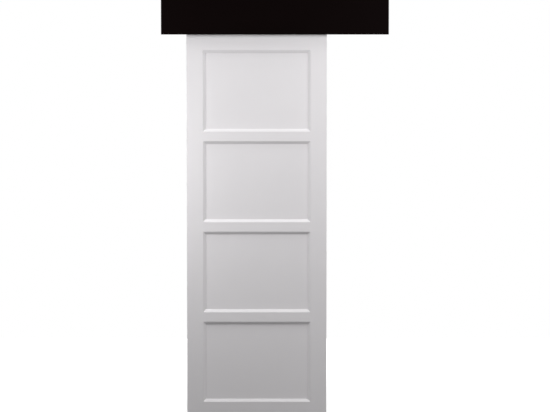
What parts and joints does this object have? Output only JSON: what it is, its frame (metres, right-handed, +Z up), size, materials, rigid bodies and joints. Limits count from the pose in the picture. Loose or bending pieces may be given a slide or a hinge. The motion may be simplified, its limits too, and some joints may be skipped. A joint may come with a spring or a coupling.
{
  "type": "sliding door",
  "caption": "White panelled door leaf with bevelled mouldings that slides along a wall, hung on trolleys from a track behind a long plain black pelmet.",
  "frame": {"origin": "on the floor, under the middle of the pelmet and half way through its depth", "axes": "+X to the right seen from the room, +Y towards the wall, +Z up; the wall is the plane y = 0.042 m and the floor z = 0"},
  "size_m": [1.18, 0.084, 2.22],
  "materials": {
    "white_lacquer": "satin white lacquer on timber",
    "black_lacquer": "matt black lacquer on board",
    "pine": "planed softwood",
    "beech": "fluted beech dowel",
    "aluminium": "mill-finish extrusion",
    "zinc_steel": "zinc-plated steel",
    "cast_zinc": "die-cast zinc alloy",
    "white_nylon": "moulded nylon",
    "black_nylon": "moulded nylon",
    "rubber": "moulded rubber"
  },
  "bodies": {
    "header": {"wall_batten": "pine", "track": "aluminium", "track_screws": "zinc_steel", "stop_screws": "zinc_steel", "pelmet_fascia": "black_lacquer", "pelmet_top": "black_lacquer", "pelmet_dowels": "beech", "pelmet_screws": "zinc_steel", "floor_guide": "black_nylon", "left_pelmet_return": "black_lacquer", "left_end_stop": "cast_zinc", "left_stop_buffer": "rubber", "right_pelmet_return": "black_lacquer", "right_end_stop": "cast_zinc", "right_stop_buffer": "rubber"},
    "leaf": {"top_rail": "white_lacquer", "bottom_rail": "white_lacquer", "rail_dowels": "beech", "bracket_screws": "zinc_steel", "lower_rail": "white_lacquer", "middle_rail": "white_lacquer", "upper_rail": "white_lacquer", "bottom_panel": "white_lacquer", "lower_panel": "white_lacquer", "upper_panel": "white_lacquer", "top_panel": "white_lacquer", "left_stile": "white_lacquer", "left_hanger_bracket": "zinc_steel", "left_hanger_bolt": "zinc_steel", "left_lock_nut": "zinc_steel", "left_trolley_body": "cast_zinc", "left_axle_1": "zinc_steel", "left_axle_2": "zinc_steel", "right_stile": "white_lacquer", "right_hanger_bracket": "zinc_steel", "right_hanger_bolt": "zinc_steel", "right_lock_nut": "zinc_steel", "right_trolley_body": "cast_zinc", "right_axle_1": "zinc_steel", "right_axle_2": "zinc_steel"},
    "left_wheel_1": {"left_wheel_1": "white_nylon"},
    "left_wheel_2": {"left_wheel_2": "white_nylon"},
    "left_wheel_3": {"left_wheel_3": "white_nylon"},
    "left_wheel_4": {"left_wheel_4": "white_nylon"},
    "right_wheel_1": {"right_wheel_1": "white_nylon"},
    "right_wheel_2": {"right_wheel_2": "white_nylon"},
    "right_wheel_3": {"right_wheel_3": "white_nylon"},
    "right_wheel_4": {"right_wheel_4": "white_nylon"}
  },
  "joints": [
    {"name": "leaf_slide", "type": "slide", "parent": "header", "child": "leaf", "axis": [1, 0, 0], "range_m": [-0.108, 0.298]},
    {"name": "left_wheel_1_roll", "type": "hinge", "parent": "leaf", "child": "left_wheel_1", "pos_m": [-0.327, -0.0065, 2.0932], "axis": [0, 1, 0], "continuous": true},
    {"name": "left_wheel_2_roll", "type": "hinge", "parent": "leaf", "child": "left_wheel_2", "pos_m": [-0.327, 0.0185, 2.0932], "axis": [0, 1, 0], "continuous": true},
    {"name": "left_wheel_3_roll", "type": "hinge", "parent": "leaf", "child": "left_wheel_3", "pos_m": [-0.263, -0.0065, 2.0932], "axis": [0, 1, 0], "continuous": true},
    {"name": "left_wheel_4_roll", "type": "hinge", "parent": "leaf", "child": "left_wheel_4", "pos_m": [-0.263, 0.0185, 2.0932], "axis": [0, 1, 0], "continuous": true},
    {"name": "right_wheel_1_roll", "type": "hinge", "parent": "leaf", "child": "right_wheel_1", "pos_m": [0.073, -0.0065, 2.0932], "axis": [0, 1, 0], "continuous": true},
    {"name": "right_wheel_2_roll", "type": "hinge", "parent": "leaf", "child": "right_wheel_2", "pos_m": [0.073, 0.0185, 2.0932], "axis": [0, 1, 0], "continuous": true},
    {"name": "right_wheel_3_roll", "type": "hinge", "parent": "leaf", "child": "right_wheel_3", "pos_m": [0.137, -0.0065, 2.0932], "axis": [0, 1, 0], "continuous": true},
    {"name": "right_wheel_4_roll", "type": "hinge", "parent": "leaf", "child": "right_wheel_4", "pos_m": [0.137, 0.0185, 2.0932], "axis": [0, 1, 0], "continuous": true}
  ],
  "couplings": [
    {"joint": "left_wheel_1_roll", "follows": "leaf_slide", "rad_per_m": 86.957},
    {"joint": "left_wheel_2_roll", "follows": "leaf_slide", "rad_per_m": 86.957},
    {"joint": "left_wheel_3_roll", "follows": "leaf_slide", "rad_per_m": 86.957},
    {"joint": "left_wheel_4_roll", "follows": "leaf_slide", "rad_per_m": 86.957},
    {"joint": "right_wheel_1_roll", "follows": "leaf_slide", "rad_per_m": 86.957},
    {"joint": "right_wheel_2_roll", "follows": "leaf_slide", "rad_per_m": 86.957},
    {"joint": "right_wheel_3_roll", "follows": "leaf_slide", "rad_per_m": 86.957},
    {"joint": "right_wheel_4_roll", "follows": "leaf_slide", "rad_per_m": 86.957}
  ]
}
